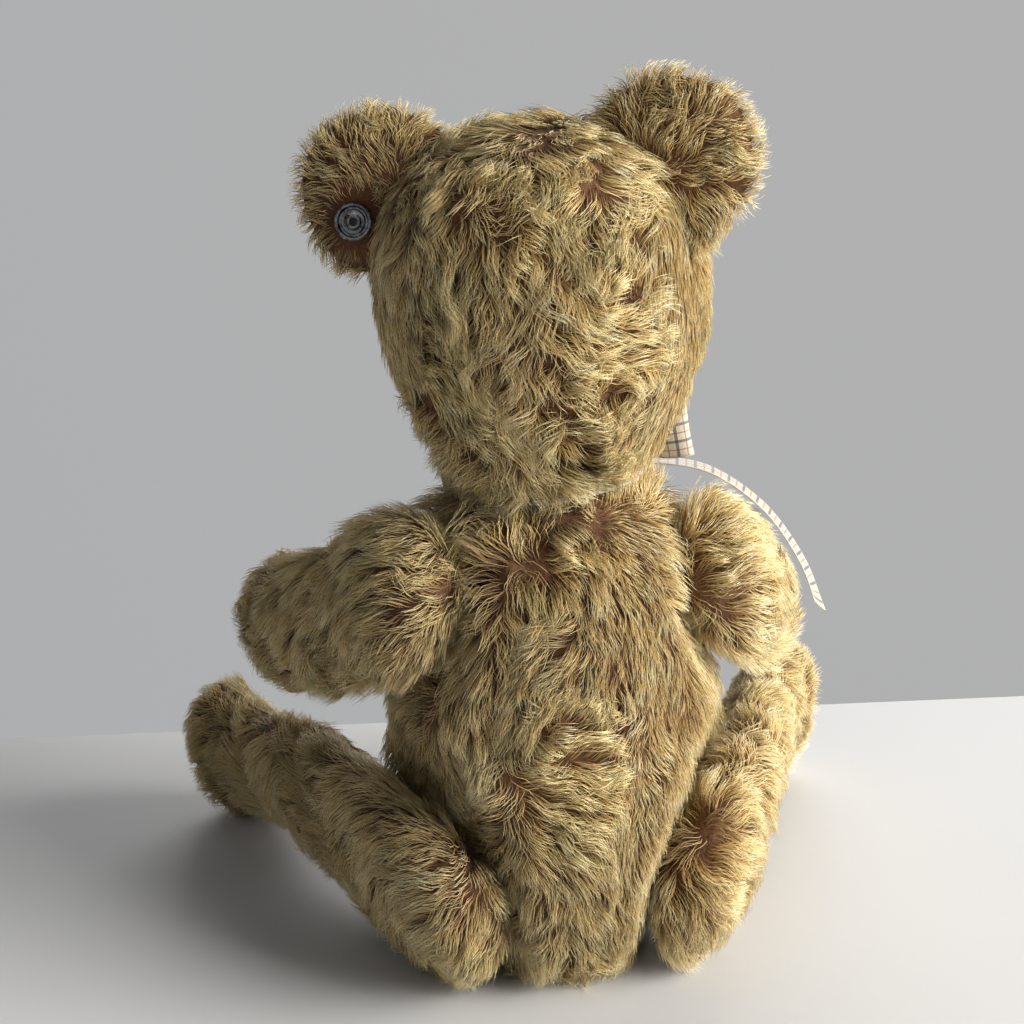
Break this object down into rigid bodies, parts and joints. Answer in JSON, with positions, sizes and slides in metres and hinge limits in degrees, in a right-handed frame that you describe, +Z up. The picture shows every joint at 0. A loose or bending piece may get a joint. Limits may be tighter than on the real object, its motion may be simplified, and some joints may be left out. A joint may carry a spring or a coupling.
{
  "type": "jointed teddy bear",
  "caption": "Sitting mohair teddy bear with disc-jointed head, arms and legs, cupped ears, felt pads, glass eyes and a plaid ribbon bow.",
  "frame": {"origin": "on the floor, under the middle of the whole sitting bear", "axes": "+Z up, -Y the way the bear faces, +X to the bear's own left"},
  "size_m": [0.205, 0.1462, 0.2299],
  "materials": {
    "mohair": "honey mohair plush, about 8 mm pile, wavy and partly parted, on a rust-brown woven backing",
    "stuffing": "firm fibre stuffing",
    "felt": "wool felt",
    "card": "pressed hardboard disc",
    "steel": "plain steel",
    "stud_metal": "dark oxidised metal with bright worn rings, plain, without lettering",
    "eye_glass": "brown glass with a black pupil",
    "black_thread": "pearl cotton embroidery",
    "seam_thread": "dark waxed thread",
    "ribbon": "woven plaid ribbon, cream with thin dark and rust lines"
  },
  "bodies": {
    "torso": {"torso_cover": "mohair", "torso_stuffing": "stuffing", "back_seam_stitches": "seam_thread", "torso_neck_disc": "card", "torso_neck_washer": "steel", "torso_right_shoulder_disc": "card", "torso_right_shoulder_washer": "steel", "torso_left_shoulder_disc": "card", "torso_left_shoulder_washer": "steel", "torso_right_hip_disc": "card", "torso_right_hip_washer": "steel", "torso_left_hip_disc": "card", "torso_left_hip_washer": "steel", "ribbon_collar": "ribbon", "ribbon_knot": "ribbon", "ribbon_bow": "ribbon", "ribbon_tail_right": "ribbon", "ribbon_tail_left": "ribbon"},
    "head": {"head_cover": "mohair", "head_stuffing": "stuffing", "left_ear": "mohair", "right_ear": "mohair", "ear_stud_cap": "stud_metal", "ear_stud_socket": "stud_metal", "left_eye": "eye_glass", "right_eye": "eye_glass", "eye_shanks": "steel", "nose_stitching": "black_thread", "mouth_stitching": "black_thread", "head_disc": "card", "head_washer": "steel", "neck_pin": "steel"},
    "right_arm": {"right_arm_cover": "mohair", "right_arm_stuffing": "stuffing", "right_paw_pad": "felt", "right_paw_claws": "black_thread", "right_arm_disc": "card", "right_arm_washer": "steel", "right_shoulder_pin": "steel"},
    "right_leg": {"right_leg_cover": "mohair", "right_leg_stuffing": "stuffing", "right_foot_pad": "felt", "right_foot_claws": "black_thread", "right_leg_disc": "card", "right_leg_washer": "steel", "right_hip_pin": "steel"},
    "left_arm": {"left_arm_cover": "mohair", "left_arm_stuffing": "stuffing", "left_paw_pad": "felt", "left_paw_claws": "black_thread", "left_arm_disc": "card", "left_arm_washer": "steel", "left_shoulder_pin": "steel"},
    "left_leg": {"left_leg_cover": "mohair", "left_leg_stuffing": "stuffing", "left_foot_pad": "felt", "left_foot_claws": "black_thread", "left_leg_disc": "card", "left_leg_washer": "steel", "left_hip_pin": "steel"}
  },
  "joints": [
    {"name": "neck", "type": "hinge", "parent": "torso", "child": "head", "pos_m": [0, 0.0301, 0.134], "axis": [0.1045, 0, 0.9945], "continuous": true},
    {"name": "right_shoulder", "type": "hinge", "parent": "torso", "child": "right_arm", "pos_m": [-0.0315, 0.0321, 0.1], "axis": [-0.9142, 0.2621, 0.309], "range_deg": [-8, 56], "deforming": ["ribbon_tail_right", "ribbon_bow"]},
    {"name": "right_hip", "type": "hinge", "parent": "torso", "child": "right_leg", "pos_m": [-0.0265, 0.0381, 0.02986], "axis": [-0.8754, 0.4082, -0.2588], "range_deg": [-80, 6]},
    {"name": "left_shoulder", "type": "hinge", "parent": "torso", "child": "left_arm", "pos_m": [0.0315, 0.0321, 0.1], "axis": [-0.9142, -0.2621, -0.309], "range_deg": [-8, 56], "deforming": ["ribbon_tail_left"]},
    {"name": "left_hip", "type": "hinge", "parent": "torso", "child": "left_leg", "pos_m": [0.0265, 0.0381, 0.02986], "axis": [-0.8754, -0.4082, 0.2588], "range_deg": [-80, 6]}
  ]
}
